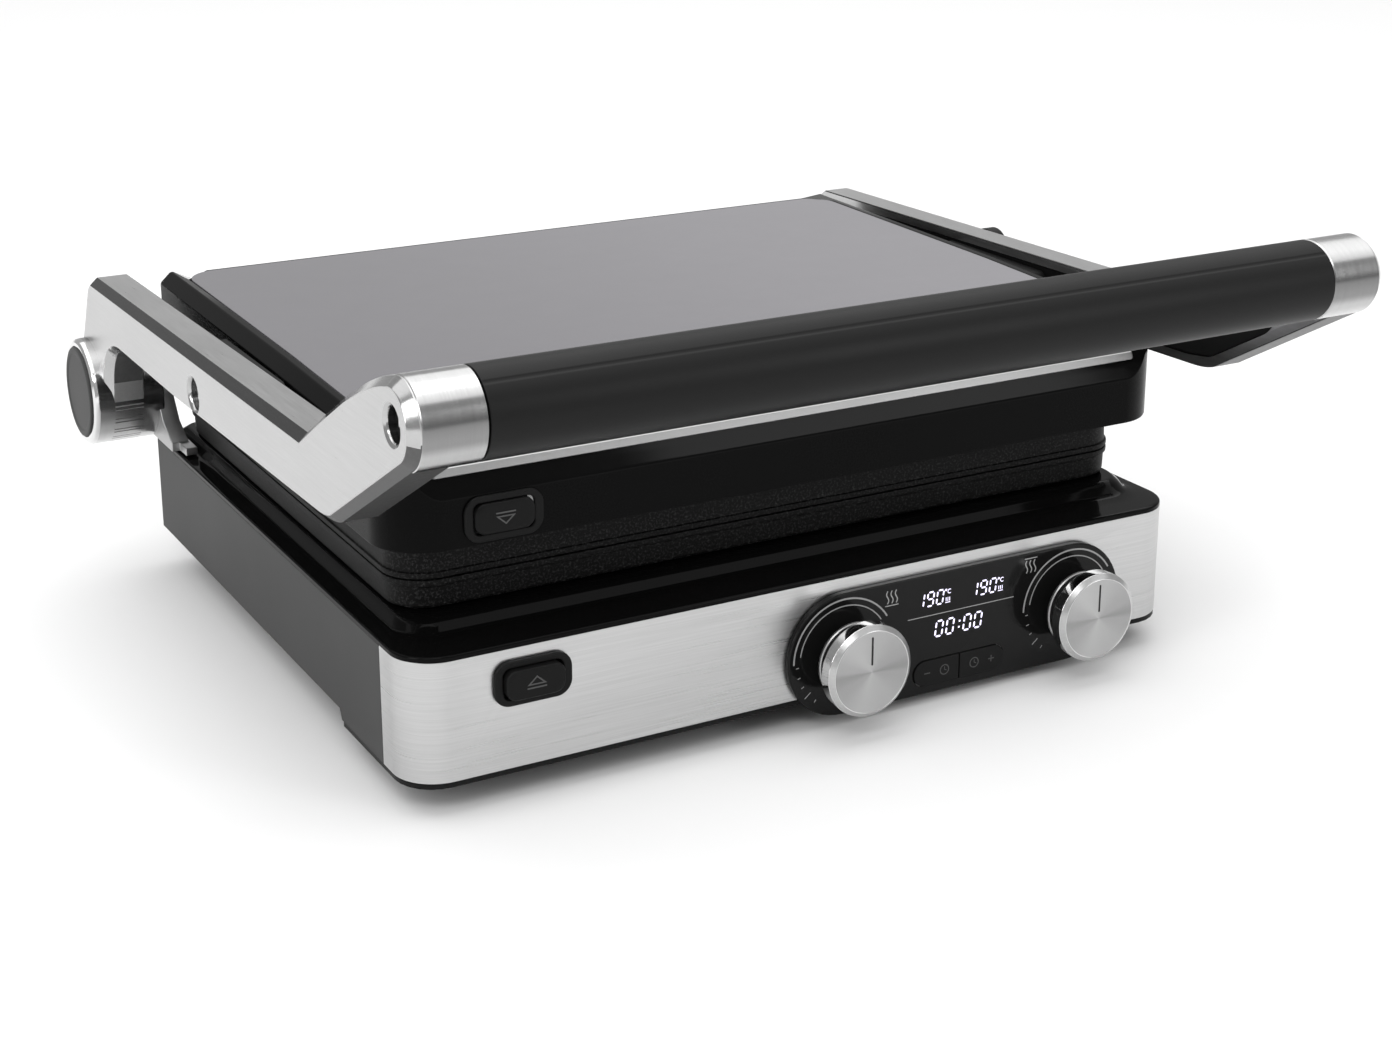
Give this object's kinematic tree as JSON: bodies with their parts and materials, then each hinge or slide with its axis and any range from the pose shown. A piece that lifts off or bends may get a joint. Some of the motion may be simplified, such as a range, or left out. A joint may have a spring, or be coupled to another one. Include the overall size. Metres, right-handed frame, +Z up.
{
  "type": "contact grill",
  "caption": "Contact grill with a floating lid on two cast arms, ribbed plates, front controls with two knobs and a drip tray.",
  "frame": {"origin": "on the table under the middle of the closed grill", "axes": "+X right as seen from the front, +Y towards the hinges, +Z up"},
  "size_m": [0.386, 0.381, 0.1757],
  "materials": {
    "steel": "brushed along its length",
    "polished": "polished",
    "cast": "satin, brushed",
    "dark_glass": "reflective grey sheet",
    "gloss_black": "gloss",
    "satin_black": "satin",
    "grip_black": "fine grain",
    "charcoal": "satin",
    "non_stick": "speckled non-stick coat on cast metal",
    "rubber": "matt",
    "board": "circuit board",
    "display": "smoked window with lit digits"
  },
  "bodies": {
    "base": {"base_tub": "satin_black", "front_panel": "steel", "side_panel_right": "charcoal", "side_panel_left": "charcoal", "deck": "gloss_black", "foot_front_left": "rubber", "foot_rear_left": "rubber", "foot_front_right": "rubber", "foot_rear_right": "rubber", "cord_gland": "rubber", "lower_reflector": "steel", "lower_heating_element": "cast", "lower_plate": "non_stick", "control_fascia": "gloss_black", "display_window": "display", "display_board": "board", "encoder_left": "cast", "encoder_right": "cast", "control_board": "board", "lower_release_bezel": "satin_black", "hinge_bracket_right": "cast", "hinge_bracket_left": "cast", "hinge_pin_right": "polished", "hinge_pin_left": "polished"},
    "arms": {"arm_right": "cast", "arm_left": "cast", "arm_liner_right": "satin_black", "arm_liner_left": "satin_black", "pivot_block_right": "satin_black", "pivot_block_left": "satin_black", "lid_pivot_pin_right": "polished", "lid_pivot_pin_left": "polished", "hub_cap_right": "charcoal", "hub_cap_left": "charcoal", "handle_screw_right": "polished", "handle_screw_left": "polished", "handle_grip": "grip_black", "handle_core": "steel"},
    "lid": {"lid_shell": "gloss_black", "lid_top_panel": "dark_glass", "lid_trim": "polished", "upper_plate": "non_stick", "upper_reflector": "steel", "upper_heating_element": "cast", "upper_release_bezel": "satin_black"},
    "knob_left": {"knob_left": "steel", "knob_shaft_left": "cast"},
    "knob_right": {"knob_right": "steel", "knob_shaft_right": "cast"},
    "timer_minus": {"timer_minus_button": "satin_black"},
    "timer_plus": {"timer_plus_button": "satin_black"},
    "lower_release": {"lower_release_button": "satin_black", "lower_release_latch": "cast"},
    "upper_release": {"upper_release_button": "satin_black", "upper_release_latch": "cast"},
    "hinge_release": {"hinge_release_lever": "satin_black"},
    "tray": {"drip_tray": "satin_black"}
  },
  "joints": [
    {"name": "arm_pivot", "type": "hinge", "parent": "base", "child": "arms", "pos_m": [0, 0.168, 0.0803], "axis": [-1, 0, 0], "range_deg": [0, 177]},
    {"name": "lid_float", "type": "hinge", "parent": "arms", "child": "lid", "pos_m": [0, 0.02, 0.1178], "axis": [-1, 0, 0], "range_deg": [0, 3.01]},
    {"name": "knob_left_turn", "type": "hinge", "parent": "base", "child": "knob_left", "pos_m": [0.0065, -0.125, 0.0276], "axis": [0, 1, 0], "range_deg": [-125, 60]},
    {"name": "knob_right_turn", "type": "hinge", "parent": "base", "child": "knob_right", "pos_m": [0.1085, -0.125, 0.0276], "axis": [0, 1, 0], "range_deg": [-125, 60]},
    {"name": "timer_minus_press", "type": "slide", "parent": "base", "child": "timer_minus", "axis": [0, 1, 0], "range_m": [0, 0.0006], "stiffness_N_per_m": 600},
    {"name": "timer_plus_press", "type": "slide", "parent": "base", "child": "timer_plus", "axis": [0, 1, 0], "range_m": [0, 0.0006], "stiffness_N_per_m": 600},
    {"name": "lower_release_press", "type": "slide", "parent": "base", "child": "lower_release", "axis": [0, 1, 0], "range_m": [0, 0.003], "stiffness_N_per_m": 500},
    {"name": "upper_release_press", "type": "slide", "parent": "lid", "child": "upper_release", "axis": [0, 1, 0], "range_m": [0, 0.002], "stiffness_N_per_m": 500},
    {"name": "hinge_release_turn", "type": "hinge", "parent": "arms", "child": "hinge_release", "pos_m": [0.187, 0.05, 0.1218], "axis": [1, 0, 0], "range_deg": [0, 20], "stiffness_Nm_per_rad": 0.05},
    {"name": "tray_slide", "type": "slide", "parent": "base", "child": "tray", "axis": [0, 1, 0], "range_m": [0, 0.11]}
  ],
  "couplings": [
    {"joint": "lid_float", "follows": "arm_pivot", "ratio": 0.016949}
  ]
}
